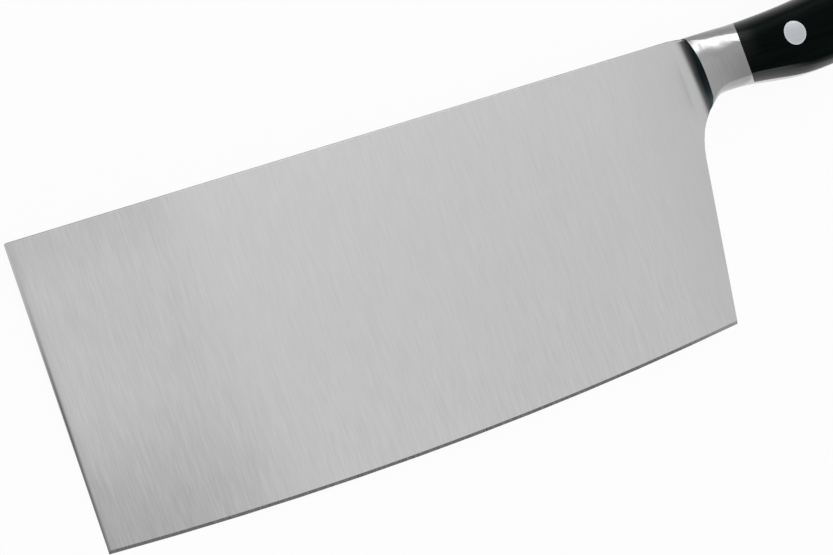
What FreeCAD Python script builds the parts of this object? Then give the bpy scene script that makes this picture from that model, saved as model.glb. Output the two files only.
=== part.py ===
"""Chinese cleaver: a forged blade with its bolster, tang and end cap, two scales and three rivets.

The knife is drawn lying on its side. x runs from the front of the blade to the butt of the handle,
y from the cutting edge up to the spine, and z out of the left side, with z = 0 in the middle plane.
The front end of the cutting edge is at x = 0 and the spine at y = 0. Each finished piece is then placed
so that the origin lies under the middle of the whole knife, on the surface that it lies on.
"""

import FreeCAD
import Part
import math
import os
import re
import Sketcher
from FreeCAD import Vector

# Driving dimensions in millimetres and degrees, each with what it measures.
SIZES = {
    "blade_length": (199.5, "front of the cutting edge to the front face of the bolster"),
    "front_setback": (0.8, "front of the cutting edge back to the front end of the spine"),
    "blade_depth": (83.4, "spine to the lowest point of the cutting edge"),
    "edge_radius": (1136, "radius of the cutting edge's curve, seen from the side"),
    "edge_low_point": (95.5, "front of the cutting edge to its lowest point"),
    "heel_setback": (13.9, "front face of the bolster back to the heel corner"),
    "heel_lean": (10.2, "angle of the heel line from the upright"),
    "choil_radius": (26, "radius of the curve from the heel line up to the bolster"),
    "choil_depth": (22, "spine to the choil where it meets the bolster"),
    "spine_thickness": (2.2, "thickness of the blade at the spine"),
    "edge_thickness": (0.4, "thickness at the edge's lowest point before it is ground"),
    "bevel_width": (0.85, "width of the ground bevel along the edge"),
    "edge_land": (0.04, "thickness left at the very edge"),
    "spine_easing": (0.3, "rounding of the spine's two corners"),
    "blade_root": (2, "length of the blade's plate inside the bolster"),
    "bolster_drop": (0.38, "step from the blade's spine down to the top of the bolster"),
    "bolster_proud": (0.15, "step from the blade's choil out to the bolster"),
    "bolster_length": (13.3, "front face of the bolster to its seam with the scales"),
    "bolster_depth": (17.95, "spine to the underside of the bolster at the seam"),
    "bolster_front_thickness": (12.4, "thickness of the bolster at its front face"),
    "bolster_rear_thickness": (14.8, "thickness of the handle at the seam"),
    "cove_radius": (4.2, "hollow between the blade's side and the bolster's front"),
    "front_shoulder_radius": (2.8, "rounding of the bolster's upper corners at its front"),
    "shoulder_radius": (6.8, "rounding of the handle's upper corners at the seam"),
    "upper_side_radius": (20, "curve of the handle's sides above their fullest place"),
    "lower_side_radius": (45, "curve of the handle's sides below their fullest place"),
    "corner_radius": (0.8, "rounding of the handle's lower corners at the bolster"),
    "top_crown_radius": (25, "crown across the top of the handle"),
    "choil_crown": (2.15, "rise of the bolster's underside from middle to sides, at its front"),
    "belly_crown": (1.25, "rise of the handle's underside from middle to sides, at the seam"),
    "grip_length": (110, "seam of the scales to the end of the butt"),
    "grip_rise": (3.6, "height of the handle's arched top above the spine"),
    "belly_depth": (20.1, "spine to the handle's underside at the belly"),
    "grip_thickness": (18.8, "greatest thickness of the handle"),
    "grip_shoulder_radius": (6.2, "rounding of the upper corners at the palm"),
    "grip_corner_radius": (5.4, "rounding of the lower corners at the palm"),
    "grip_crown": (1.7, "rise of the handle's underside from middle to sides, at the palm"),
    "butt_radius": (34, "radius of the butt's curve, seen from the side"),
    "butt_rounding": (2.2, "rounding of the butt's rim"),
    "cap_length": (9, "length of the end cap along the middle of the handle"),
    "seam_rake": (31, "slant of the scale's front end, from tang to surface"),
    "cap_rake": (20, "slant of the scale's rear end, from tang to surface"),
    "tang_thickness": (3.2, "thickness of the tang between the scales"),
    "front_rivet_setback": (17.4, "seam to the first rivet"),
    "rear_rivet_setback": (28.6, "last rivet to the end of the butt"),
    "head_diameter": (6.9, "diameter of a rivet's head"),
    "head_seat": (5, "middle plane to the seat under a rivet's head"),
    "sleeve_diameter": (4.8, "outside of a rivet's hollow shank"),
    "pin_diameter": (3, "diameter of a rivet's solid shank"),
    "shank_room": (0.6, "room left beyond the end of each shank"),
    "press_clearance": (0.02, "gap round a rivet's heads and shanks"),
    "overrun": (5, "how far cuts and blanks run past what they cut"),
}

# The bolster's sections: place along it, and how much of the choil's drop is left there.
BOLSTER_SHARES = [(0, 1), (0.14, 0.63), (0.28, 0.29), (0.46, 0.07), (0.7, 0)]

# The grip's sections: place along it, rise of the top, growth of the belly, growth of the thickness,
# and softening of the corners, each as a share of the way from the seam's size to the grip's own.
GRIP_SHARES = [
    (0, 0, 0, 0, 0),
    (0.095, 0.075, 0.48, 0.27, 0.05),
    (0.19, 0.27, 1, 0.52, 0.25),
    (0.318, 0.67, 0.72, 0.79, 0.65),
    (0.468, 1, 0.25, 1, 1),
    (0.632, 0.88, 0.06, 0.94, 1),
    (0.786, 0.445, 0.5, 0.72, 1),
]

# The same round the butt, but each section's place is its distance behind the butt as a share of the
# end cap's length. The last lies past the butt, whose curve cuts it off.
BUTT_SHARES = [
    (-1.22, -0.155, 1.4, 0.5, 0.9),
    (-0.6, -0.51, 1.97, 0.42, 0.83),
    (0, -0.89, 2.55, 0.33, 0.77),
    (0.73, -1.39, 3.1, 0.24, 0.7),
]

# Each rivet's place on the way from the first to the last, and its height below the spine as a share
# of the belly's depth.
RIVET_SHARES = {"front": (0, 0.442), "middle": (0.5, 0.37), "rear": (1, 0.43)}

# Height of the butt's foremost bulge below the spine, as a share of the belly's depth.
BUTT_BULGE_SHARE = 0.7

# The most that a corner's rounding may take of the half thickness that it rounds.
WALL_SHARE = 0.92

# The sides' fullest place: its way down from the top, as a share of the handle's height there.
FRONT_FULLEST_SHARE = 0.57
SEAM_FULLEST_SHARE = 0.46
PALM_FULLEST_SHARE = 0.5

# The part of the half thickness that the crown of the underside spans.
UNDERSIDE_SHARE = 0.8

# The crown of the choil across its own slope, as a share of the crown measured upright.
CHOIL_SLOPE_SHARE = 0.64

# Half the width of the wheel that rounds the choil, as a share of the radius of its waisted tread.
TREAD_SHARE = 0.87

# How far down the bound of the cove runs past the choil, as a share of the cove's radius.
COVE_DROP_SHARE = 1.6

# The narrow land between the cove and the bolster's sides, as a share of the spine's easing, and the
# rounding of the cove's upper corners, as a share of the bolster's own.
COVE_LAND_SHARE = 0.2
COVE_SHOULDER_SHARE = 0.75

# How far before the bolster the spine starts to dip, as a share of the cove's radius.
NAPE_SHARE = 1.5

doc = FreeCAD.newDocument("cleaver")


def make_sheet():
    """Write the driving dimensions into the sheet, one row each."""
    sheet = doc.addObject("Spreadsheet::Sheet", "Sizes")
    for row, (alias, (size, meaning)) in enumerate(SIZES.items(), start=1):
        sheet.set(f"A{row}", meaning)
        sheet.set(f"B{row}", str(size))
        sheet.setAlias(f"B{row}", alias)
    doc.recompute()
    return sheet


SHEET = make_sheet()


def sized(formula):
    """Turn a formula in the sizes' plain names into an expression on the sheet."""
    return re.sub(r"[a-z_]+", lambda word: f"Sizes.{word[0]}" if word[0] in SIZES else word[0], formula)


def value(formula):
    """Return what a formula in the sizes' plain names comes to."""
    return float(SHEET.evalExpression(formula))


def bind(thing, prop, formula):
    """Tie a property to a formula in the sizes' plain names."""
    thing.setExpression(prop, sized(formula))


def drive(sketch, name, kind, references, formula):
    """Add a named dimension to a sketch and tie it to a formula."""
    size = value(formula)
    if kind == "Angle":
        size = math.radians(size)
    index = sketch.addConstraint(Sketcher.Constraint(kind, *references, size))
    sketch.renameConstraint(index, name)
    bind(sketch, f"Constraints.{name}", formula)


def new_body(name):
    """Add an empty body."""
    return doc.addObject("PartDesign::Body", name)


def new_sketch(body, name, role, offset="0"):
    """Add a sketch on one of the body's own origin planes, shifted along the plane's normal."""
    sketch = body.newObject("Sketcher::SketchObject", name)
    plane = next(feature for feature in body.Origin.OriginFeatures if feature.Role == role)
    sketch.AttachmentSupport = [(plane, "")]
    sketch.MapMode = "FlatFace"
    bind(sketch, "AttachmentOffset.Base.z", offset)
    return sketch


def line(start, end):
    """Return a straight sketch element between two points."""
    return Part.LineSegment(Vector(*start, 0), Vector(*end, 0))


def arc(centre, radius, start, end):
    """Return a round sketch element that runs anticlockwise between two angles in radians."""
    circle = Part.Circle(Vector(*centre, 0), Vector(0, 0, 1), radius)
    return Part.ArcOfCircle(circle, start, end)


def join(sketch, first, first_end, second, second_end, kind="Coincident"):
    """Join the ends of two sketch elements; end 1 is an element's start and end 2 its finish."""
    sketch.addConstraint(Sketcher.Constraint(kind, first, first_end, second, second_end))


def polygon(sketch, corners):
    """Draw a closed outline of straight lines whose corners are pairs of formulas."""
    first = sketch.GeometryCount
    points = [(value(along), value(up)) for along, up in corners]
    for number, point in enumerate(points):
        sketch.addGeometry(line(point, points[(number + 1) % len(points)]))
    for number, (along, up) in enumerate(corners):
        edge = first + number
        following = first + (number + 1) % len(corners)
        join(sketch, edge, 2, following, 1)
        for axis, way, formula in ((-2, "DistanceX", along), (-1, "DistanceY", up)):
            if formula == "0":
                sketch.addConstraint(Sketcher.Constraint("PointOnObject", edge, 1, axis))
            else:
                drive(sketch, f"{way}_{edge}", way, (-1, 1, edge, 1), formula)


def pad(body, sketch, length):
    """Pad a sketch by a length, half of it to each side of its plane."""
    feature = body.newObject("PartDesign::Pad", sketch.Name + "_pad")
    feature.Profile = sketch
    feature.SideType = "Symmetric"
    bind(feature, "Length", length)
    return feature


def pocket(body, sketch):
    """Cut a sketch right through the body, both ways from its plane."""
    feature = body.newObject("PartDesign::Pocket", sketch.Name + "_pocket")
    feature.Profile = sketch
    feature.SideType = "Symmetric"
    feature.Type = "ThroughAll"
    return feature


def fillet(body, base, edge_numbers, radius):
    """Round the numbered edges of a feature."""
    feature = body.newObject("PartDesign::Fillet", base.Name + "_rounded")
    feature.Base = (base, [f"Edge{number}" for number in edge_numbers])
    bind(feature, "Radius", radius)
    return feature


def turned_body(name, corners, along, up):
    """Turn an outline of radius and height about an axis that crosses the handle at a given place."""
    body = new_body(name)
    sketch = new_sketch(body, name + "_outline", "XZ_Plane")
    polygon(sketch, corners)
    feature = body.newObject("PartDesign::Revolution", name + "_turned")
    feature.Profile = sketch
    feature.ReferenceAxis = (sketch, ["V_Axis"])
    bind(body, "Placement.Base.x", along)
    bind(body, "Placement.Base.y", up)
    return body


def boolean(kind, name, first, second):
    """Cut one shape from another, or keep what they share."""
    result = doc.addObject(f"Part::{kind}", name)
    result.Base = first
    result.Tool = second
    return result


def mirrored(name, source, height="0"):
    """Mirror a shape in the plane of the blade, which lies at a height."""
    copy = doc.addObject("Part::Mirroring", name)
    copy.Source = source
    copy.Normal = Vector(0, 0, 1)
    bind(copy, "Base.z", height)
    return copy


HALF_SPINE = "spine_thickness / 2"
ROOT_DROP = "(bolster_drop + 2 * spine_easing)"
FACE_SLOPE = "(spine_thickness - edge_thickness) / 2 / blade_depth"
SEAM = "(blade_length + bolster_length)"
BUTT = "(blade_length + bolster_length + grip_length)"


def blade_outline(body):
    """Draw the blade's side view: spine, front, curved edge, leaning heel, choil and root."""
    sketch = new_sketch(body, "blade_outline", "XY_Plane")
    root = value("blade_length + blade_root")
    low, radius, rise = value("edge_low_point"), value("edge_radius"), value("edge_radius - blade_depth")
    heel = value("blade_length - heel_setback")
    front_angle = -math.pi / 2 - math.asin(low / radius)
    heel_angle = -math.pi / 2 + math.asin((heel - low) / radius)
    front_corner = (0, rise + radius * math.sin(front_angle))
    spine_front = (value("front_setback"), 0)
    heel_corner = (heel, rise + radius * math.sin(heel_angle))
    lean = math.radians(value("heel_lean"))
    up_heel = (math.sin(lean), math.cos(lean))
    choil_end = (value("blade_length"), -value("choil_depth"))
    reach = (choil_end[0] - heel_corner[0], choil_end[1] - heel_corner[1])
    aside = reach[0] * up_heel[1] - reach[1] * up_heel[0]
    along = reach[0] * up_heel[0] + reach[1] * up_heel[1]
    choil = value("choil_radius")
    straight = along - math.sqrt(choil ** 2 - (choil - aside) ** 2)
    choil_start = (heel_corner[0] + straight * up_heel[0], heel_corner[1] + straight * up_heel[1])
    centre = (choil_start[0] + choil * up_heel[1], choil_start[1] - choil * up_heel[0])
    start_angle = math.atan2(choil_start[1] - centre[1], choil_start[0] - centre[0])
    end_angle = math.atan2(choil_end[1] - centre[1], choil_end[0] - centre[0])
    root_foot = (root, -value("bolster_depth"))
    nape = value(f"blade_length - {NAPE_SHARE} * cove_radius")
    root_drop = value(ROOT_DROP)
    dip = ((root - nape) ** 2 + root_drop ** 2) / (2 * root_drop)
    root_top = (root, -root_drop)
    dip_angle = math.atan2(dip - root_drop, root - nape)
    sketch.addGeometry(line((nape, 0), spine_front))
    sketch.addGeometry(line(spine_front, front_corner))
    sketch.addGeometry(arc((low, rise), radius, front_angle, heel_angle))
    sketch.addGeometry(line(heel_corner, choil_start))
    sketch.addGeometry(arc(centre, choil, end_angle, start_angle))
    sketch.addGeometry(line(choil_end, root_foot))
    sketch.addGeometry(line(root_foot, root_top))
    sketch.addGeometry(arc((nape, -dip), dip, dip_angle, math.pi / 2))
    spine, front, edge, heel_line, choil_arc, foot, root_end, dip_arc = range(sketch.GeometryCount)
    join(sketch, spine, 2, front, 1)
    join(sketch, front, 2, edge, 1)
    join(sketch, edge, 2, heel_line, 1)
    join(sketch, heel_line, 2, choil_arc, 2, "Tangent")
    join(sketch, choil_arc, 1, foot, 1)
    join(sketch, foot, 2, root_end, 1)
    join(sketch, root_end, 2, dip_arc, 1)
    join(sketch, dip_arc, 2, spine, 1, "Tangent")
    sketch.addConstraint(Sketcher.Constraint("Horizontal", spine))
    sketch.addConstraint(Sketcher.Constraint("Vertical", root_end))
    sketch.addConstraint(Sketcher.Constraint("PointOnObject", spine, 2, -1))
    sketch.addConstraint(Sketcher.Constraint("PointOnObject", front, 2, -2))
    drive(sketch, "spine_front", "DistanceX", (-1, 1, spine, 2), "front_setback")
    drive(sketch, "spine_rear", "DistanceX", (-1, 1, spine, 1), f"blade_length - {NAPE_SHARE} * cove_radius")
    drive(sketch, "root_place", "DistanceX", (-1, 1, dip_arc, 1), "blade_length + blade_root")
    drive(sketch, "root_top", "DistanceY", (-1, 1, dip_arc, 1), f"-{ROOT_DROP}")
    drive(sketch, "low_point", "DistanceX", (-1, 1, edge, 3), "edge_low_point")
    drive(sketch, "edge_centre", "DistanceY", (-1, 1, edge, 3), "edge_radius - blade_depth")
    drive(sketch, "edge_curve", "Radius", (edge,), "edge_radius")
    drive(sketch, "heel_place", "DistanceX", (-1, 1, heel_line, 1), "blade_length - heel_setback")
    drive(sketch, "heel_angle", "Angle", (heel_line,), "90 - heel_lean")
    drive(sketch, "choil_curve", "Radius", (choil_arc,), "choil_radius")
    drive(sketch, "choil_place", "DistanceX", (-1, 1, foot, 1), "blade_length")
    drive(sketch, "choil_drop", "DistanceY", (-1, 1, foot, 1), "-choil_depth")
    drive(sketch, "root_drop", "DistanceY", (-1, 1, root_end, 1), "-bolster_depth")
    for name, way, place in (("centre_along", "DistanceX", centre[0]), ("centre_up", "DistanceY", centre[1])):
        measured = sketch.addConstraint(Sketcher.Constraint(way, -1, 1, choil_arc, 3, place))
        sketch.setDriving(measured, False)
        sketch.renameConstraint(measured, name)
    return sketch


def face_grind(body):
    """Draw what is ground off each side of the plate, so that it thins from spine to edge."""
    sketch = new_sketch(body, "face_grind", "YZ_Plane")
    reach = "(blade_depth + overrun)"
    thin = f"({HALF_SPINE} - {FACE_SLOPE} * {reach})"
    clear = f"({HALF_SPINE} + overrun)"
    for side in ("", "-"):
        polygon(sketch, [
            ("0", f"{side}{HALF_SPINE}"),
            (f"-{reach}", f"{side}{thin}"),
            (f"-{reach}", f"{side}{clear}"),
            ("0", f"{side}{clear}"),
        ])
    return sketch


def edge_bevel(body):
    """Grind the bevel along the edge, turned about the centre of the edge's own curve."""
    sketch = new_sketch(body, "edge_bevel", "YZ_Plane", "edge_low_point")
    half_land = "edge_land / 2"
    bevel_top = f"({HALF_SPINE} - {FACE_SLOPE} * (blade_depth - bevel_width))"
    clear = f"(2 * {bevel_top} - {half_land})"
    for side in ("", "-"):
        polygon(sketch, [
            ("-blade_depth", f"{side}{half_land}"),
            ("2 * bevel_width - blade_depth", f"{side}{clear}"),
            ("-(blade_depth + overrun)", f"{side}{clear}"),
            ("-(blade_depth + overrun)", f"{side}{half_land}"),
        ])
    centre = value("edge_radius - blade_depth")
    axis = sketch.addGeometry(line((centre, 0), (centre, value("blade_depth"))), True)
    sketch.addConstraint(Sketcher.Constraint("Vertical", axis))
    sketch.addConstraint(Sketcher.Constraint("PointOnObject", axis, 1, -1))
    drive(sketch, "turning_centre", "DistanceX", (-1, 1, axis, 1), "edge_radius - blade_depth")
    drive(sketch, "axis_length", "DistanceY", (-1, 1, axis, 2), "blade_depth")
    feature = body.newObject("PartDesign::Groove", "edge_bevel_groove")
    feature.Profile = sketch
    feature.ReferenceAxis = (sketch, ["Axis0"])
    feature.Midplane = True
    bind(feature, "Angle", "2 * asin(blade_length / edge_radius)")
    return feature


def make_blade():
    """Make the blade's plate: padded outline, ground faces, bevelled edge and eased spine."""
    body = new_body("blade_plate")
    plate = pad(body, blade_outline(body), "spine_thickness")
    doc.recompute()
    ground = pocket(body, face_grind(body))
    doc.recompute()
    bevelled = edge_bevel(body)
    doc.recompute()
    for before, after in ((plate, ground), (ground, bevelled)):
        if after.Shape.Volume >= before.Shape.Volume:
            raise RuntimeError(f"{after.Name} cuts nothing")
    spine_edges = [
        number for number, edge in enumerate(bevelled.Shape.Edges, start=1)
        if edge.BoundBox.YMin > -value(f"{ROOT_DROP} + spine_easing")
        and edge.BoundBox.XLength > value("spine_easing")
    ]
    fillet(body, bevelled, spine_edges, "spine_easing")
    return body


def limited(radius, half_thickness):
    """Return a corner's rounding, kept within the wall that it rounds."""
    return f"min({radius}; {WALL_SHARE} * {half_thickness})"


def crown_radius(crown, half_thickness):
    """Return the radius of a curve that rises by a crown from the middle to the underside's two ends."""
    return f"((({UNDERSIDE_SHARE} * {half_thickness}) ^ 2 + {crown} ^ 2) / (2 * {crown}))"


def fullest_place(fullest_share, top, depth):
    """Return how far below the spine the handle's sides are fullest."""
    return f"({fullest_share} * ({top} + {depth}) - {top})"


def bolster_section(along_share, drop_share):
    """Return the handle's section at a place along the bolster, as formulas."""
    half = f"((bolster_front_thickness * (1 - {along_share}) + bolster_rear_thickness * {along_share}) / 2)"
    depth = f"(bolster_depth + {drop_share} * (choil_depth + bolster_proud - bolster_depth))"
    crown = f"(belly_crown * (1 - {drop_share}) + choil_crown * {drop_share})"
    shoulder = f"(front_shoulder_radius * (1 - {along_share}) + shoulder_radius * {along_share})"
    fullest_share = f"({FRONT_FULLEST_SHARE} * (1 - {along_share}) + {SEAM_FULLEST_SHARE} * {along_share})"
    return {
        "place": f"blade_length + {along_share} * bolster_length",
        "top": "(-bolster_drop)",
        "depth": depth,
        "belly": crown_radius(crown, half),
        "half": half,
        "fullest": fullest_place(fullest_share, "(-bolster_drop)", depth),
        "shoulder": limited(shoulder, half),
        "corner": limited("corner_radius", half),
    }


def cove_bound_section():
    """Return the section that holds the coves: the bolster's front, under the spine and past the choil."""
    section = bolster_section(0, 1)
    section["top"] = f"(-{ROOT_DROP})"
    section["half"] = f"({section['half']} - {COVE_LAND_SHARE} * spine_easing)"
    section["shoulder"] = f"({COVE_SHOULDER_SHARE} * front_shoulder_radius)"
    section["depth"] = f"(choil_depth + {COVE_DROP_SHARE} * cove_radius)"
    return section


def grip_section(place, rise_share, belly_share, thickness_share, softness_share):
    """Return the handle's section at a place along the grip, as formulas."""
    half = f"((bolster_rear_thickness * (1 - {thickness_share}) + grip_thickness * {thickness_share}) / 2)"
    top = f"({rise_share} * (grip_rise + bolster_drop) - bolster_drop)"
    depth = f"(bolster_depth + {belly_share} * (belly_depth - bolster_depth))"
    shoulder = f"(shoulder_radius * (1 - {softness_share}) + grip_shoulder_radius * {softness_share})"
    corner = f"(corner_radius * (1 - {softness_share}) + grip_corner_radius * {softness_share})"
    crown = f"(belly_crown * (1 - {softness_share}) + grip_crown * {softness_share})"
    fullest_share = (SEAM_FULLEST_SHARE * (1 - softness_share)) + (PALM_FULLEST_SHARE * softness_share)
    return {
        "place": place,
        "top": top,
        "depth": depth,
        "belly": crown_radius(crown, half),
        "half": half,
        "fullest": fullest_place(fullest_share, top, depth),
        "shoulder": limited(shoulder, half),
        "corner": limited(corner, half),
    }


def bearing(start, end):
    """Return the direction from one point to another, in radians."""
    return math.atan2(end[1] - start[1], end[0] - start[0])


def touching_points(first, first_reach, second, second_reach):
    """Return the lower and the upper point that lie at given distances from two centres."""
    apart = math.dist(first, second)
    along = (apart ** 2 + first_reach ** 2 - second_reach ** 2) / (2 * apart)
    aside = math.sqrt(first_reach ** 2 - along ** 2)
    turn = bearing(first, second)
    foot = (first[0] + along * math.cos(turn), first[1] + along * math.sin(turn))
    step = (aside * math.sin(turn), aside * math.cos(turn))
    return sorted([(foot[0] - step[0], foot[1] + step[1]), (foot[0] + step[0], foot[1] - step[1])])


def section_sketch(body, name, section):
    """Draw a section of the handle: crowned top and underside, full sides and four rounded corners.

    The sketch's first axis runs up the knife and its second out of the left side. Each side is two curves
    that meet at its fullest place.
    """
    sketch = new_sketch(body, name, "YZ_Plane", section["place"])
    top, depth, half = value(section["top"]), value(section["depth"]), value(section["half"])
    shoulder, corner, fullest = (value(section[part]) for part in ("shoulder", "corner", "fullest"))
    crown, belly = value("top_crown_radius"), value(section["belly"])
    upper, lower = value("upper_side_radius"), value("lower_side_radius")
    crown_centre, belly_centre = (top - crown, 0), (belly - depth, 0)
    upper_centre, lower_centre = (-fullest, half - upper), (-fullest, half - lower)
    shoulder_centre = touching_points(crown_centre, crown - shoulder, upper_centre, upper - shoulder)[1]
    corner_centre = touching_points(belly_centre, belly - corner, lower_centre, lower - corner)[0]
    angles = [
        bearing(crown_centre, shoulder_centre),
        bearing(upper_centre, shoulder_centre),
        math.pi / 2,
        bearing(lower_centre, corner_centre),
        bearing(belly_centre, corner_centre),
    ]
    left = list(zip((shoulder_centre, upper_centre, lower_centre, corner_centre),
                    (shoulder, upper, lower, corner), angles, angles[1:]))
    sketch.addGeometry(arc(crown_centre, crown, -angles[0], angles[0]))
    for centre, radius, start, end in left:
        sketch.addGeometry(arc(centre, radius, start, end))
    sketch.addGeometry(arc(belly_centre, belly, angles[-1], 2 * math.pi - angles[-1]))
    for (along, out), radius, start, end in reversed(left):
        sketch.addGeometry(arc((along, -out), radius, -end, -start))
    elements = range(sketch.GeometryCount)
    for element in elements:
        join(sketch, element, 2, (element + 1) % len(elements), 1, "Tangent")
    (crown, left_shoulder, left_upper, left_lower, left_corner,
     belly, right_corner, right_lower, right_upper, right_shoulder) = elements
    for middle in (crown, belly):
        sketch.addConstraint(Sketcher.Constraint("PointOnObject", middle, 3, -1))
    drive(sketch, "crown", "Radius", (crown,), "top_crown_radius")
    drive(sketch, "belly", "Radius", (belly,), section["belly"])
    drive(sketch, "crown_centre", "DistanceX", (-1, 1, crown, 3), f"{section['top']} - top_crown_radius")
    drive(sketch, "belly_centre", "DistanceX", (-1, 1, belly, 3), f"{section['belly']} - {section['depth']}")
    drive(sketch, "shoulder", "Radius", (left_shoulder,), section["shoulder"])
    drive(sketch, "corner", "Radius", (left_corner,), section["corner"])
    drive(sketch, "upper_side", "Radius", (left_upper,), "upper_side_radius")
    drive(sketch, "lower_side", "Radius", (left_lower,), "lower_side_radius")
    for pair in ((left_shoulder, right_shoulder), (left_corner, right_corner),
                 (left_upper, right_upper), (left_lower, right_lower)):
        sketch.addConstraint(Sketcher.Constraint("Equal", *pair))
    for side, number in (("left_upper", left_upper), ("left_lower", left_lower),
                         ("right_upper", right_upper), ("right_lower", right_lower)):
        drive(sketch, f"{side}_fullest", "DistanceX", (-1, 1, number, 3), f"-{section['fullest']}")
    inset = f"(upper_side_radius - {section['half']})"
    drive(sketch, "left_half", "DistanceY", (-1, 1, left_upper, 3), f"-{inset}")
    drive(sketch, "right_half", "DistanceY", (-1, 1, right_upper, 3), inset)
    return sketch


def butt_curve(body):
    """Draw what is cut off behind the butt's curve."""
    sketch = new_sketch(body, "butt_curve", "XY_Plane")
    radius, end = value("butt_radius"), value(BUTT)
    middle = (end - radius, -BUTT_BULGE_SHARE * value("belly_depth"))
    clear = value(f"{BUTT} + grip_thickness")
    top, foot = middle[1] + radius, middle[1] - radius
    sketch.addGeometry(arc(middle, radius, -math.pi / 2, math.pi / 2))
    sketch.addGeometry(line((middle[0], top), (clear, top)))
    sketch.addGeometry(line((clear, top), (clear, foot)))
    sketch.addGeometry(line((clear, foot), (middle[0], foot)))
    curve, over, behind, under = range(sketch.GeometryCount)
    join(sketch, curve, 2, over, 1, "Tangent")
    join(sketch, over, 2, behind, 1)
    join(sketch, behind, 2, under, 1)
    join(sketch, under, 2, curve, 1, "Tangent")
    sketch.addConstraint(Sketcher.Constraint("Horizontal", over))
    sketch.addConstraint(Sketcher.Constraint("Vertical", behind))
    sketch.addConstraint(Sketcher.Constraint("Horizontal", under))
    drive(sketch, "curve", "Radius", (curve,), "butt_radius")
    drive(sketch, "centre_along", "DistanceX", (-1, 1, curve, 3), f"{BUTT} - butt_radius")
    drive(sketch, "centre_up", "DistanceY", (-1, 1, curve, 3), f"-{BUTT_BULGE_SHARE} * belly_depth")
    drive(sketch, "clear", "DistanceX", (-1, 1, over, 2), f"{BUTT} + grip_thickness")
    return sketch


def make_handle_form():
    """Make the whole handle as one smooth form, from which its pieces are then divided."""
    body = new_body("handle_form")
    sections = [bolster_section(*shares) for shares in BOLSTER_SHARES]
    for along_share, *shares in GRIP_SHARES:
        sections.append(grip_section(f"{SEAM} + {along_share} * grip_length", *shares))
    for behind_share, *shares in BUTT_SHARES:
        sections.append(grip_section(f"{BUTT} + {behind_share} * cap_length", *shares))
    sketches = [section_sketch(body, f"section_{number}", section) for number, section in enumerate(sections)]
    loft = body.newObject("PartDesign::AdditiveLoft", "handle_loft")
    loft.Profile = sketches[0]
    loft.Sections = sketches[1:]
    doc.recompute()
    cut = pocket(body, butt_curve(body))
    doc.recompute()
    if cut.Shape.Volume >= loft.Shape.Volume:
        raise RuntimeError("the butt's curve cuts nothing")
    butt_face = next(face for face in cut.Shape.Faces if isinstance(face.Surface, Part.Cylinder))
    rim = [
        number for number, edge in enumerate(cut.Shape.Edges, start=1)
        if any(edge.isSame(border) for border in butt_face.Edges)
    ]
    fillet(body, cut, rim, "butt_rounding")
    return body


def make_choil_wheel():
    """Make the waisted wheel that grinds the lower ends of the coves round, about the centre of the choil."""
    body = new_body("choil_wheel")
    sketch = new_sketch(body, "choil_wheel_outline", "XZ_Plane")
    reach = "(choil_radius + press_clearance)"
    curve = crown_radius(f"({CHOIL_SLOPE_SHARE} * choil_crown)", "(bolster_front_thickness / 2)")
    waist, radius = value(reach), value(curve)
    spread = math.asin(TREAD_SHARE)
    rim, height = waist + radius * (1 - math.cos(spread)), radius * TREAD_SHARE
    sketch.addGeometry(arc((waist + radius, 0), radius, math.pi - spread, math.pi + spread))
    sketch.addGeometry(line((rim, -height), (0, -height)))
    sketch.addGeometry(line((0, -height), (0, height)))
    sketch.addGeometry(line((0, height), (rim, height)))
    tread, under, axis, over = range(sketch.GeometryCount)
    join(sketch, tread, 2, under, 1)
    join(sketch, under, 2, axis, 1)
    join(sketch, axis, 2, over, 1)
    join(sketch, over, 2, tread, 1)
    sketch.addConstraint(Sketcher.Constraint("Horizontal", under))
    sketch.addConstraint(Sketcher.Constraint("Horizontal", over))
    sketch.addConstraint(Sketcher.Constraint("PointOnObject", axis, 1, -2))
    sketch.addConstraint(Sketcher.Constraint("PointOnObject", axis, 2, -2))
    sketch.addConstraint(Sketcher.Constraint("PointOnObject", tread, 3, -1))
    drive(sketch, "tread", "Radius", (tread,), curve)
    drive(sketch, "tread_centre", "DistanceX", (-1, 1, tread, 3), f"{reach} + {curve}")
    drive(sketch, "over", "DistanceY", (-1, 1, over, 1), f"{TREAD_SHARE} * {curve}")
    drive(sketch, "under", "DistanceY", (-1, 1, under, 1), f"-{TREAD_SHARE} * {curve}")
    feature = body.newObject("PartDesign::Revolution", "choil_wheel_turned")
    feature.Profile = sketch
    feature.ReferenceAxis = (sketch, ["V_Axis"])
    bind(body, "Placement.Base.x", "blade_outline.Constraints.centre_along")
    bind(body, "Placement.Base.y", "blade_outline.Constraints.centre_up")
    return body


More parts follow.
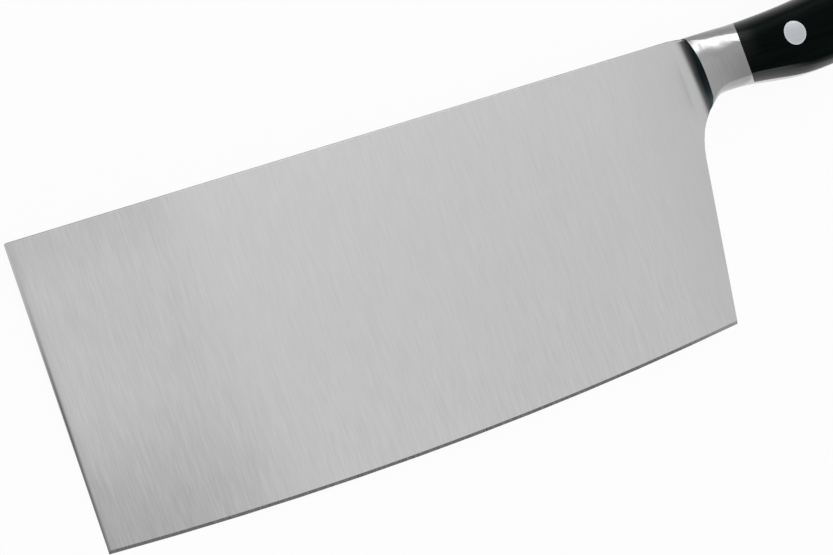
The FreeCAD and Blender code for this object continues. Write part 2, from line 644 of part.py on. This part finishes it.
def make_cove():
    """Make the hollow on the left side where the blade's face rises into the bolster's front."""
    hollow = new_body("cove_hollow")
    sketch = new_sketch(hollow, "cove_outline", "XZ_Plane")
    radius, sunk = value("cove_radius"), -value(HALF_SPINE) / 2
    sketch.addGeometry(arc((-radius, radius), radius, -math.pi / 2, 0))
    sketch.addGeometry(line((0, radius), (0, sunk)))
    sketch.addGeometry(line((0, sunk), (-radius, sunk)))
    sketch.addGeometry(line((-radius, sunk), (-radius, 0)))
    curve, front, under, end = range(sketch.GeometryCount)
    join(sketch, curve, 2, front, 1, "Tangent")
    join(sketch, front, 2, under, 1)
    join(sketch, under, 2, end, 1)
    join(sketch, end, 2, curve, 1)
    sketch.addConstraint(Sketcher.Constraint("Vertical", front))
    sketch.addConstraint(Sketcher.Constraint("Horizontal", under))
    sketch.addConstraint(Sketcher.Constraint("Vertical", end))
    sketch.addConstraint(Sketcher.Constraint("PointOnObject", curve, 1, -1))
    sketch.addConstraint(Sketcher.Constraint("PointOnObject", front, 1, -2))
    drive(sketch, "curve", "Radius", (curve,), "cove_radius")
    drive(sketch, "sunk", "DistanceY", (-1, 1, front, 2), f"-{HALF_SPINE} / 2")
    pad(hollow, sketch, "2 * (choil_depth + cove_radius + overrun)")
    bind(hollow, "Placement.Base.x", "blade_length")
    bind(hollow, "Placement.Base.z", HALF_SPINE)
    hollow.Placement.Rotation = FreeCAD.Rotation(Vector(1, 0, 0), 0)
    bind(hollow, "Placement.Rotation.Angle", f"atan({FACE_SLOPE})")
    bound = new_body("cove_bound")
    outline = section_sketch(bound, "cove_bound_section", cove_bound_section())
    pad(bound, outline, "2 * (cove_radius + overrun)")
    whole = boolean("Common", "whole_cove", hollow, bound)
    return boolean("Cut", "left_cove", whole, make_choil_wheel())


def make_scale_blank():
    """Make the block that the left scale is shaped from, with slanted ends."""
    body = new_body("scale_blank")
    sketch = new_sketch(body, "scale_blank_plan", "XZ_Plane")
    cap = f"({BUTT} - cap_length)"
    inner = "tang_thickness / 2"
    outer = "(grip_thickness / 2 + overrun)"
    at_surface = "bolster_rear_thickness / 2"
    polygon(sketch, [
        (f"{SEAM} + tan(seam_rake) * ({at_surface} - {inner})", inner),
        (f"{cap} - tan(cap_rake) * ({at_surface} - {inner})", inner),
        (f"{cap} - tan(cap_rake) * ({at_surface} - {outer})", outer),
        (f"{SEAM} + tan(seam_rake) * ({at_surface} - {outer})", outer),
    ])
    pad(body, sketch, "4 * belly_depth")
    return body


def rivet_pieces(name, along_share, depth_share, form):
    """Make one rivet: the bore it sits in, its sleeve and its pin, with heads flush with the handle."""
    run = "(grip_length - front_rivet_setback - rear_rivet_setback)"
    along = f"{SEAM} + front_rivet_setback + {along_share} * {run}"
    up = f"-{depth_share} * belly_depth"
    clear = "(grip_thickness / 2 + overrun)"
    head, sleeve, pin = "head_diameter / 2", "sleeve_diameter / 2", "pin_diameter / 2"
    bore_head = f"{head} + press_clearance"
    bore_shank = f"{sleeve} + press_clearance"
    hollow = f"{pin} + press_clearance"
    bore = turned_body(f"rivet_{name}_bore", [
        ("0", f"-{clear}"), (bore_head, f"-{clear}"), (bore_head, "-head_seat"), (bore_shank, "-head_seat"),
        (bore_shank, "head_seat"), (bore_head, "head_seat"), (bore_head, clear), ("0", clear),
    ], along, up)
    sleeve_blank = turned_body(f"rivet_{name}_sleeve_blank", [
        ("0", "head_seat"), (hollow, "head_seat"), (hollow, "shank_room - head_seat"),
        (sleeve, "shank_room - head_seat"), (sleeve, "head_seat"), (head, "head_seat"),
        (head, clear), ("0", clear),
    ], along, up)
    pin_blank = turned_body(f"rivet_{name}_pin_blank", [
        ("0", f"-{clear}"), (head, f"-{clear}"), (head, "-head_seat"), (pin, "-head_seat"),
        (pin, "head_seat - shank_room"), ("0", "head_seat - shank_room"),
    ], along, up)
    sleeve_piece = boolean("Common", f"rivet_{name}_sleeve", sleeve_blank, form)
    pin_piece = boolean("Common", f"rivet_{name}_pin", pin_blank, form)
    return bore, sleeve_piece, pin_piece


def fused(name, shapes):
    """Join shapes into one."""
    result = doc.addObject("Part::MultiFuse", name)
    result.Shapes = shapes
    return result


def lay_down(piece):
    """Place a finished piece so that the origin is under the middle of the knife."""
    bind(piece, "Placement.Base.x", f"-{BUTT} / 2")
    bind(piece, "Placement.Base.y", "(blade_depth - grip_rise) / 2")
    bind(piece, "Placement.Base.z", "grip_thickness / 2")


def make_knife():
    """Make every piece of the knife and return those that are kept."""
    blade = make_blade()
    form = make_handle_form()
    left_cove = make_cove()
    right_cove = mirrored("right_cove", left_cove)
    left_blank = make_scale_blank()
    right_blank = mirrored("right_scale_blank", left_blank)
    bores, rivets = [], []
    for name, shares in RIVET_SHARES.items():
        bore, sleeve_piece, pin_piece = rivet_pieces(name, *shares, form)
        bores.append(bore)
        rivets += [sleeve_piece, pin_piece]
    all_bores = fused("rivet_bores", bores)
    core = boolean("Cut", "handle_core", form, fused("scale_blanks", [left_blank, right_blank]))
    forging = fused("forging", [blade, left_cove, right_cove, core])
    blade_and_tang = boolean("Cut", "blade_and_tang", forging, all_bores)
    scale_shape = boolean("Common", "left_scale_shape", form, left_blank)
    left_scale = boolean("Cut", "left_scale", scale_shape, all_bores)
    for piece in [blade_and_tang, left_scale] + rivets:
        lay_down(piece)
    right_scale = mirrored("right_scale", left_scale, "grip_thickness / 2")
    return [blade_and_tang, left_scale, right_scale] + rivets


def export(pieces):
    """Check every object and piece, then write one file per piece."""
    doc.recompute()
    for thing in doc.Objects:
        if "Invalid" in thing.State or "Error" in thing.State:
            raise RuntimeError(f"{thing.Label} failed: {thing.State}")
    for piece in pieces:
        if piece.Shape.isNull() or not piece.Shape.isValid() or len(piece.Shape.Solids) != 1:
            raise RuntimeError(f"{piece.Label} is not one valid solid")
    os.makedirs("parts", exist_ok=True)
    for piece in pieces:
        piece.Shape.Solids[0].exportStep(f"parts/{piece.Label}.step")
        print(piece.Label, round(piece.Shape.Volume), "cubic millimetres")


export(make_knife())
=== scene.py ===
"""The look of a Chinese cleaver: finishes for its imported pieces, a pale floor, studio light and a camera.

All lengths are in metres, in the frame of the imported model: x from the front of the blade to the butt,
y from the cutting edge to the spine, and z up, out of the blade's left side.
"""

import math

import bpy
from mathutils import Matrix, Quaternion, Vector

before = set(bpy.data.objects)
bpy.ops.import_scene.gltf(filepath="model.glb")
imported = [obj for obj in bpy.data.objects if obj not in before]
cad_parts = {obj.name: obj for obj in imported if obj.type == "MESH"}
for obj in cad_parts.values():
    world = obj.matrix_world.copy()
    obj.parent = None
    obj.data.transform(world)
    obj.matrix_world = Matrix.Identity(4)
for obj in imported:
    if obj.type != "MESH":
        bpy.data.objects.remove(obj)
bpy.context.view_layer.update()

MM = 0.001

# Places on the knife that the finishes follow.
FRONT = -161.4 * MM
FRONT_SETBACK = 0.8 * MM
FRONT_LEAN = 0.01
BOLSTER_FRONT = 38.1 * MM
SEAM = 51.4 * MM
SPINE = 39.9 * MM
MIDDLE_PLANE = 9.4 * MM
EDGE_CENTRE = (-65.9 * MM, 1092.5 * MM)
EDGE_RADIUS = 1136 * MM
BEVEL_WIDTH = 0.85 * MM

# The camera.
CAMERA_PLACE = Vector((-0.28548, -0.02372, 0.53558))
CAMERA_AIM = Vector((-0.06121, 0.00022, 0.0094))
CAMERA_ROLL = math.radians(-64.756)
CAMERA_LENS = 95.303
CAMERA_SENSOR = 36

WHITE = (1, 1, 1, 1)


class Signal:
    """A node's output. Arithmetic on it adds Math nodes to the same tree."""

    def __init__(self, finish, socket):
        self.finish = finish
        self.socket = socket

    def __add__(self, other):
        return self.finish.math("ADD", self, other)

    def __radd__(self, other):
        return self.finish.math("ADD", other, self)

    def __sub__(self, other):
        return self.finish.math("SUBTRACT", self, other)

    def __rsub__(self, other):
        return self.finish.math("SUBTRACT", other, self)

    def __mul__(self, other):
        return self.finish.math("MULTIPLY", self, other)

    def __rmul__(self, other):
        return self.finish.math("MULTIPLY", other, self)

    def __pow__(self, other):
        return self.finish.math("POWER", self, other)

    def __neg__(self):
        return self.finish.math("MULTIPLY", self, -1)

    def __abs__(self):
        return self.finish.math("ABSOLUTE", self)


class Finish:
    """The node tree of a material or of the world."""

    def __init__(self, owner):
        owner.use_nodes = True
        self.tree = owner.node_tree
        self.tree.nodes.clear()

    def node(self, kind, settings=None, sockets=None):
        """Add a node: its settings first, then its sockets' values or links. Return its outputs by name."""
        node = self.tree.nodes.new(kind)
        for name, setting in (settings or {}).items():
            setattr(node, name, setting)
        for key, value in (sockets or {}).items():
            if isinstance(key, int):
                socket = node.inputs[key]
            else:
                socket = next(entry for entry in node.inputs if entry.enabled and entry.name == key)
            if isinstance(value, Signal):
                self.tree.links.new(value.socket, socket)
            else:
                socket.default_value = value
        return {entry.name: Signal(self, entry) for entry in node.outputs if entry.enabled}

    def math(self, operation, *values):
        """Work out one step of arithmetic on values."""
        return self.node("ShaderNodeMath", {"operation": operation}, dict(enumerate(values)))["Value"]

    def place(self, kind="Object"):
        """Return the place on the surface in the knife's own frame, or another of its coordinates."""
        return self.node("ShaderNodeTexCoord")[kind]

    def axes(self, vector):
        """Return a vector's three parts."""
        parts = self.node("ShaderNodeSeparateXYZ", sockets={"Vector": vector})
        return parts["X"], parts["Y"], parts["Z"]

    def noise(self, vector, factors, detail=2, roughness=0.5):
        """Return a cloudy pattern from 0 to 1 with so many features per metre along each axis."""
        settings = {"operation": "MULTIPLY"}
        stretched = self.node("ShaderNodeVectorMath", settings, {0: vector, 1: factors})["Vector"]
        sockets = {"Vector": stretched, "Scale": 1, "Detail": detail, "Roughness": roughness}
        return self.node("ShaderNodeTexNoise", None, sockets)["Fac"]

    def rise(self, value, low, high):
        """Return a smooth step from 0 at a low value to 1 at a high one."""
        sockets = {"Value": value, "From Min": low, "From Max": high}
        return self.node("ShaderNodeMapRange", {"interpolation_type": "SMOOTHSTEP"}, sockets)["Result"]

    def blend(self, factor, first, second):
        """Return a number between two."""
        return self.node("ShaderNodeMix", {"data_type": "FLOAT"}, {0: factor, 2: first, 3: second})["Result"]

    def mix(self, factor, first, second):
        """Return a colour between two."""
        settings = {"data_type": "RGBA"}
        return self.node("ShaderNodeMix", settings, {"Factor": factor, "A": first, "B": second})["Result"]

    def bump(self, height, distance):
        """Return the surface's normal, tilted by a relief of the given depth."""
        return self.node("ShaderNodeBump", None, {"Height": height, "Distance": distance})["Normal"]

    def principled(self, sockets):
        """Make a general surface with these sockets the tree's result."""
        self.surface(self.node("ShaderNodeBsdfPrincipled", None, sockets)["BSDF"])

    def surface(self, shader, target="ShaderNodeOutputMaterial"):
        """Make a shader the tree's result."""
        self.node(target, None, {"Surface": shader})


def grey(level, coolness=0.0):
    """Return a grey of a given level, a little cool if asked."""
    return (level * (1 - coolness), level, level * (1 + coolness), 1)


def new_finish(name):
    """Start a material."""
    material = bpy.data.materials.new(name)
    return material, Finish(material)


def flank_level(finish, x, down, toward_edge, lines):
    """Return the level of the blade's flanks, with painted shade that darkens them to the front, its lower
    corner, the rear, the heel and down towards the edge.
    """
    at_front = 1 - finish.rise(x, -128 * MM, -108 * MM)
    at_top = 1 - finish.rise(down, 2 * MM, 16 * MM)
    low = finish.rise(down, 42 * MM, 78 * MM)
    front_corner = low * (1 - finish.rise(x, -155 * MM, -95 * MM))
    to_rear = finish.rise(x, -110 * MM, 20 * MM)
    at_heel = finish.rise(x, 5 * MM, 34 * MM)
    # Painted shade: darker to the front and its top, the lower front corner, the rear, the heel and down
    # towards the edge.
    level = 0.536 - (0.03 + 0.03 * at_top) * at_front - 0.095 * front_corner
    level = level - 0.024 * to_rear - 0.035 * at_heel - 0.15 * down
    level = level + (0.1 + 0.05 * at_front + 0.05 * low - 0.06 * at_heel) * (lines - 0.5)

    # Painted shade along the rounded front end, fading a little way behind it.
    from_front = x - FRONT - FRONT_SETBACK + FRONT_LEAN * down
    rounded_front = 1 - finish.rise(from_front, 0, 1.05 * MM)
    soft_front = 1 - finish.rise(from_front, 0, 4 * MM)
    front_shade = 0.06 + 0.75 * toward_edge - 0.25 * low
    return level * (1 - front_shade * rounded_front) * (1 - 0.08 * soft_front)


def cove_shade(finish, down, out):
    """Return the share of its level that the steel keeps in the cove under painted shade, and how cool the
    painted tint is there.
    """
    below_top = finish.rise(down, 3 * MM, 10 * MM)
    foot = finish.rise(down, 11 * MM, 21.5 * MM)
    end = finish.rise(down, 16 * MM, 20 * MM)
    inside = finish.rise(out - 0.034 * down, 1.17 * MM, 2.17 * MM)
    deep = finish.rise(out, 2.55 * MM, 4 * MM)
    # Painted shade: the steel darkens into the cove, most where it is deep.
    kept = 1 - (0.78 - 0.08 * below_top - 0.42 * foot) * inside
    kept = kept * (1 - (0.6 + 0.17 * below_top - 0.33 * end) * deep)
    return kept, deep * (1 - 0.35 * end)


def bolster_level(finish, x, down, upward, lines):
    """Return the level of the bolster and all behind it, with a painted highlight on the shoulder, painted
    shade on top, below the shoulder and towards the seam, and painted light on the underside.
    """
    to_seam = finish.rise(x, BOLSTER_FRONT, SEAM)
    on_tang = finish.rise(x, SEAM, SEAM + 1.5 * MM)
    underside = finish.rise(-upward, 0.45, 0.85)
    # Painted shade: darker towards the seam and further down.
    level = 0.32 - 0.035 * to_seam - (0.02 + 0.02 * to_seam) * finish.rise(down, 4 * MM, 17 * MM)
    level = level - 0.035 * to_seam * finish.rise(down, 7 * MM, 12 * MM)
    # Painted light on the underside, strongest under the tang; the strokes are the brushing's own.
    level = level + (0.05 + 0.04 * to_seam + 0.13 * on_tang) * underside + 0.1 * (lines - 0.5)

    # Painted highlight on the shoulder, with painted shade on top and just below it.
    on_top = 1 - finish.rise(down, 2.6 * MM, 3.3 * MM)
    past_shoulder = finish.rise(down, 4.9 * MM, 6.2 * MM)
    shoulder = to_seam * finish.rise(down, 3.6 * MM, 4.6 * MM) * (1 - past_shoulder)
    below_shoulder = (1 - to_seam) * past_shoulder * (1 - finish.rise(down, 6.5 * MM, 10 * MM))
    painted_shoulder_light_and_shade = (0.22 * shoulder - 0.12 * on_top) * (1 - on_tang) - 0.3 * below_shoulder
    return level * (1 + painted_shoulder_light_and_shade)


def steel_finish():
    """Satin steel: lines from spine to edge, a stone-ground bevel, a brushed bolster, with painted shade on
    the flanks, the bevel, the front end, the spine and in the cove, and a painted highlight on the bolster's
    shoulder.
    """
    material, finish = new_finish("satin_steel")
    point = finish.place()
    x, y, z = finish.axes(point)
    forward, upward, _ = finish.axes(finish.place("Normal"))
    down = SPINE - y
    toward_edge = finish.rise(down, 4 * MM, 48 * MM)

    strokes = finish.noise(point, (2500, 150, 150))
    long_strokes = finish.noise(point, (700, 30, 30))
    lines = strokes * 0.82 + long_strokes * 0.18
    # Painted shade and a painted cool tint in the cove.
    kept, cool = cove_shade(finish, down, abs(z - MIDDLE_PLANE))
    blade = flank_level(finish, x, down, toward_edge, lines) * kept

    marks = finish.noise(point, (3200, 500, 400))
    from_centre = ((x - EDGE_CENTRE[0]) ** 2 + (y - EDGE_CENTRE[1]) ** 2) ** 0.5
    on_bevel = finish.rise(from_centre, EDGE_RADIUS - 1.05 * BEVEL_WIDTH, EDGE_RADIUS - 0.95 * BEVEL_WIDTH)
    # The bevel's ground marks are its own; its dark level, lighter near the heel, is painted shade.
    bevel = 0.15 + 0.22 * (marks - 0.5) + 0.12 * finish.rise(x, 0, 24 * MM)

    # Painted shade on the blade's front end face, darker towards the edge.
    on_end = finish.rise(-forward, 0.5, 0.8) * (1 - finish.rise(x, FRONT + 2 * MM, FRONT + 3 * MM))
    end = 0.42 - 0.3 * toward_edge
    # Painted shade on the spine, deeper on its nape just before the bolster.
    on_spine = finish.rise(upward, 0.1, 0.35)
    on_nape = on_spine * finish.rise(x, BOLSTER_FRONT - 3.3 * MM, BOLSTER_FRONT - 1.6 * MM)

    cross_lines = finish.noise(point, (3800, 120, 120))
    on_handle = finish.rise(x, BOLSTER_FRONT + 0.05 * MM, BOLSTER_FRONT + 0.15 * MM)
    bolster = bolster_level(finish, x, down, upward, cross_lines)

    level = finish.blend(on_bevel, blade, bevel)
    # The front end's painted shade, then the painted shade of the spine and nape.
    level = finish.blend(on_end, level, end) * (1 - 0.55 * on_spine - 0.35 * on_nape)
    level = finish.blend(on_handle, level, bolster)
    # The cove's painted cool tint stays off the bolster.
    cool = cool * (1 - on_handle)
    sockets = {"Red": level * (1 - 0.35 * cool), "Green": level, "Blue": level * (1 + 0.12 * cool)}
    colour = finish.node("ShaderNodeCombineColor", None, sockets)["Color"]
    relief = finish.blend(on_handle, lines, cross_lines) + 3 * on_bevel * marks
    finish.principled({
        "Base Color": colour,
        "Metallic": 1,
        "Roughness": 0.32 + 0.08 * (lines - 0.5) - 0.13 * on_handle + 0.1 * on_bevel,
        "Normal": finish.bump(relief, 1.5e-6),
    })
    return material


def wood_finish():
    """Dense black wood: fine streaks along the handle, short pores and a satin polish."""
    material, finish = new_finish("black_wood")
    point = finish.place()
    streaks = finish.noise(point, (14, 520, 520), detail=4, roughness=0.6)
    bands = finish.noise(point, (5, 90, 90))
    pores = finish.rise(finish.noise(point, (120, 1800, 1800), detail=1), 0.62, 0.72)
    tone = finish.rise(streaks * 0.7 + bands * 0.3, 0.35, 0.7)
    heart = finish.mix(tone, (0.0003, 0.0005, 0.0005, 1), (0.0022, 0.0026, 0.0026, 1))
    x = finish.axes(point)[0]
    upward = finish.axes(finish.place("Normal"))[1]
    by_bolster = 1 - finish.rise(x, 60 * MM, 72 * MM)
    underside = (0.2 + 0.12 * by_bolster) * finish.rise(-upward, 0.3, 0.7)
    buffed = by_bolster * finish.rise(-upward, 0.2, 0.4) * (1 - finish.rise(-upward, 0.4, 0.98))
    at_seam = (1 - finish.rise(x, SEAM, SEAM + 7 * MM)) * finish.rise(upward, -0.13, 0.02)
    crown = finish.rise(upward, 0.5, 0.95)
    sheen = 0.6 * crown + underside + buffed + 0.18 * at_seam * (1 - crown)
    finish.principled({
        "Base Color": finish.mix(pores, heart, (0.0002, 0.0003, 0.0003, 1)),
        "Roughness": 0.22 + 0.12 * tone + 0.15 * pores,
        "Specular IOR Level": 0.03,
        "Specular Tint": (0.6, 1, 0.9, 1),
        "Coat Weight": sheen,
        "Coat Roughness": 0.25,
        "Normal": finish.bump(streaks * 0.5 - pores, 8e-6),
    })
    return material


def rivet_finish():
    """Pale metal, ground flush along the handle, with a brighter rim."""
    material, finish = new_finish("rivet_metal")
    across, along, _ = finish.axes(finish.place("Generated"))
    from_axis = ((across - 0.5) ** 2 + (along - 0.5) ** 2) ** 0.5
    rim = finish.rise(from_axis, 0.42, 0.49)
    lines = finish.noise(finish.place(), (60, 3000, 3000), detail=3)
    ground = finish.mix(lines, grey(0.40, 0.05), grey(0.52, 0.05))
    finish.principled({
        "Base Color": finish.mix(rim, ground, grey(0.58, 0.03)),
        "Metallic": 1,
        "Roughness": 0.3 + 0.1 * (lines - 0.5) - 0.08 * rim,
        "Normal": finish.bump(lines, 1.5e-6),
    })
    return material


def seen_directly(finish):
    """Return 1 for what the camera sees, straight or through a reflection, and 0 for soft light."""
    path = finish.node("ShaderNodeLightPath")
    seen = path["Is Camera Ray"]
    for ray in ("Is Glossy Ray", "Is Transmission Ray"):
        seen = finish.math("MAXIMUM", seen, path[ray])
    return seen


def floor_finish():
    """Pale floor that reads as white and keeps a soft shadow."""
    material, finish = new_finish("pale_floor")
    matt = finish.node("ShaderNodeBsdfDiffuse", None, {"Color": grey(0.9)})["BSDF"]
    lit = finish.node("ShaderNodeEmission", None, {"Color": WHITE, "Strength": 1})["Emission"]
    share = seen_directly(finish) * 0.94
    finish.surface(finish.node("ShaderNodeMixShader", None, {"Fac": share, 1: matt, 2: lit})["Shader"])
    return material


def panel_finish(name, direction, fade):
    """Studio panel whose glow changes, between two places along a direction, from one level to another."""
    material, finish = new_finish(name)
    (start, first), (end, last) = fade
    sockets = {0: finish.place(), 1: direction}
    along = finish.node("ShaderNodeVectorMath", {"operation": "DOT_PRODUCT"}, sockets)["Value"]
    glow = finish.mix(finish.rise(along, start, end), grey(first), grey(last))
    finish.surface(finish.node("ShaderNodeEmission", None, {"Color": glow, "Strength": 1})["Emission"])
    return material


def make_sheet(name, corners, material):
    """Make a flat sheet of the stage from its corners."""
    mesh = bpy.data.meshes.new(name)
    mesh.from_pydata(corners, [], [range(len(corners))])
    mesh.materials.append(material)
    sheet = bpy.data.objects.new(name, mesh)
    bpy.context.collection.objects.link(sheet)
    return sheet


def make_panel(name, corners, direction, fade):
    """Stand a panel that is seen only in reflections."""
    panel = make_sheet(name, corners, panel_finish(name, direction, fade))
    panel.visible_camera = False
    panel.visible_diffuse = False
    panel.visible_transmission = False
    panel.visible_shadow = False


def resting_plane():
    """Return the height and slopes of the surface under the knife, from the blade's front to the handle."""
    points = [vertex.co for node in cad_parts.values() for vertex in node.data.vertices]
    nose = [point for point in points if point.x < FRONT + 2 * MM]
    spine_corner = min((p for p in nose if p.y > SPINE - 2 * MM), key=lambda p: p.z)
    edge_corner = min(nose, key=lambda p: p.y)
    along = edge_corner - spine_corner
    best = None
    for point in points:
        if point.x < SEAM:
            continue
        normal = along.cross(point - spine_corner)
        slopes = (-normal.x / normal.z, -normal.y / normal.z)
        if best is None or slopes[0] < best[0]:
            best = slopes
    height = spine_corner.z - best[0] * spine_corner.x - best[1] * spine_corner.y
    return height, best


def make_floor():
    """Lay the floor under the knife."""
    height, (rise_x, rise_y) = resting_plane()
    reach = 4.0
    ends = ((-reach, -reach), (reach, -reach), (reach, reach), (-reach, reach))
    corners = [(x, y, height + rise_x * x + rise_y * y) for x, y in ends]
    make_sheet("floor", corners, floor_finish())


def make_dark_panel():
    """Stand a panel in front of the blade that fades from white overhead to black near the floor."""
    foot_x, head_x, head_z, half = -0.9, -0.22, 1.05, 0.7
    dark_z, dark_glow, white_z, white_glow = 0.08, 0.05, 0.65, 1
    corners = [(foot_x, -half, 0), (foot_x, half, 0), (head_x, half, head_z), (head_x, -half, head_z)]
    make_panel("dark_panel", corners, Vector((0, 0, 1)), [(dark_z, dark_glow), (white_z, white_glow)])


def make_bright_panel():
    """Hang a bright panel high beyond the spine, tilted to face the bolster, that fades out to its head."""
    middle = Vector((0.357, 0.809, 0.877))
    aside, upward = Vector((0.927, -0.375, 0)), Vector((-0.27, -0.667, 0.695))
    foot = [(-0.78, -0.26), (-0.45, -0.22), (-0.3, -0.1), (-0.1, -0.13), (0.24, -0.52), (0.32, -0.54)]
    head = [(0.32, 0.42), (-0.78, -0.09)]
    corners = [middle + across * aside + up * upward for across, up in foot + head]
    slant, fade_start, fade_end, full_glow, last_glow = 0.46, 0.18, 0.265, 4.2, 1
    direction = upward - slant * aside
    base = middle.dot(direction)
    fade = [(base + fade_start, full_glow), (base + fade_end, last_glow)]
    make_panel("bright_panel", corners, direction, fade)


def make_softbox():
    """Hang a soft lamp over the knife."""
    side, radiance = 1.0, 1.4
    lamp = bpy.data.lights.new("overhead_softbox", "AREA")
    lamp.shape = "SQUARE"
    lamp.size = side
    lamp.energy = radiance * math.pi * side ** 2
    softbox = bpy.data.objects.new("overhead_softbox", lamp)
    softbox.location = (0.45, -0.1, 1.1)
    softbox.rotation_mode = "QUATERNION"
    softbox.rotation_quaternion = (-softbox.location).to_track_quat("-Z", "Y")
    softbox.visible_camera = False
    softbox.visible_glossy = False
    bpy.context.collection.objects.link(softbox)


def make_world():
    """Surround the stage with white for what is seen and with a softer light for the rest."""
    world = bpy.data.worlds.new("studio")
    bpy.context.scene.world = world
    finish = Finish(world)
    strength = 0.55 + 0.45 * seen_directly(finish)
    shader = finish.node("ShaderNodeBackground", None, {"Color": WHITE, "Strength": strength})["Background"]
    finish.surface(shader, "ShaderNodeOutputWorld")


def make_camera():
    """Set the camera at the photograph's angle."""
    lens = bpy.data.cameras.new("camera")
    lens.sensor_width = CAMERA_SENSOR
    lens.lens = CAMERA_LENS
    lens.clip_start = 0.01
    camera = bpy.data.objects.new("camera", lens)
    forward = (CAMERA_AIM - CAMERA_PLACE).normalized()
    camera.location = CAMERA_PLACE
    camera.rotation_mode = "QUATERNION"
    camera.rotation_quaternion = Quaternion(forward, CAMERA_ROLL) @ forward.to_track_quat("-Z", "Y")
    bpy.context.collection.objects.link(camera)
    bpy.context.scene.camera = camera


def dress():
    """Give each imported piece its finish."""
    steel, wood, rivet = steel_finish(), wood_finish(), rivet_finish()
    for name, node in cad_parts.items():
        finish = rivet if name.startswith("rivet") else wood if name.endswith("scale") else steel
        for slot in node.material_slots:
            slot.material = finish


bpy.context.scene.view_settings.view_transform = "Standard"
dress()
make_floor()
make_dark_panel()
make_bright_panel()
make_softbox()
make_world()
make_camera()
